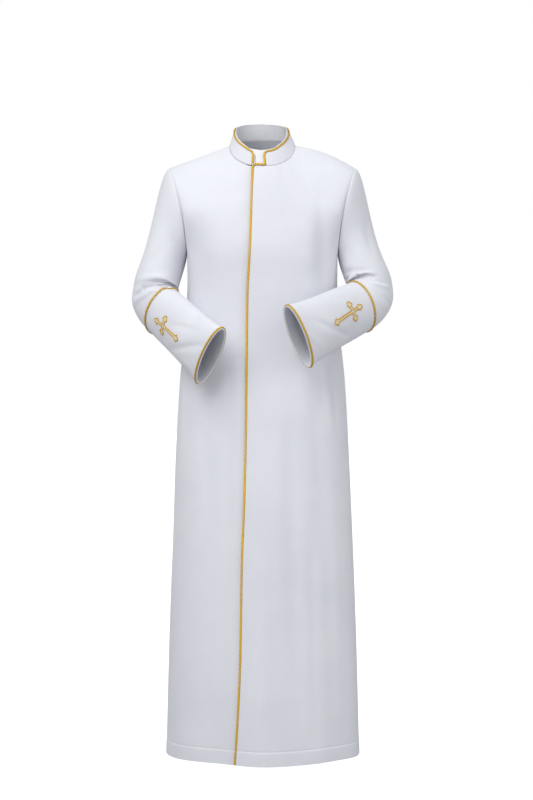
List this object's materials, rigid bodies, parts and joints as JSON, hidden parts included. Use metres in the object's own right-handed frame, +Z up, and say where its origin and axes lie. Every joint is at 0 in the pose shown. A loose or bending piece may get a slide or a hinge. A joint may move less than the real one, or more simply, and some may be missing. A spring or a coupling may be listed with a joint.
{
  "type": "cassock",
  "caption": "Ankle-length white clergy cassock in its worn shape, with a standing collar and tab insert, gold piping and a cross embroidered on each cuff.",
  "frame": {"origin": "midway between the shoulder seams at the base of the neck, where the garment hangs from its wearer or a hanger", "axes": "+Z up towards the collar; the front faces -Y; +X is the wearer's left"},
  "size_m": [0.6376, 0.4768, 1.5466],
  "materials": {
    "white_suiting": "matt twill suiting with a soft sheen",
    "insert_cloth": "smooth starched cotton",
    "gold_cord": "twisted metallic cord, satin",
    "gold_embroidery": "metallic embroidery thread, satin"
  },
  "bodies": {
    "root": {"front_left": "white_suiting", "front_right": "white_suiting", "back": "white_suiting", "sleeve_left": "white_suiting", "sleeve_right": "white_suiting", "cuff_left": "white_suiting", "cuff_right": "white_suiting", "piping_sleeve_left": "gold_cord", "piping_sleeve_right": "gold_cord", "piping_cuff_left": "gold_cord", "piping_cuff_right": "gold_cord", "cross_left": "gold_embroidery", "cross_right": "gold_embroidery", "collar": "white_suiting", "collar_insert": "insert_cloth", "piping_front": "gold_cord", "piping_collar_right": "gold_cord"}
  },
  "joints": []
}
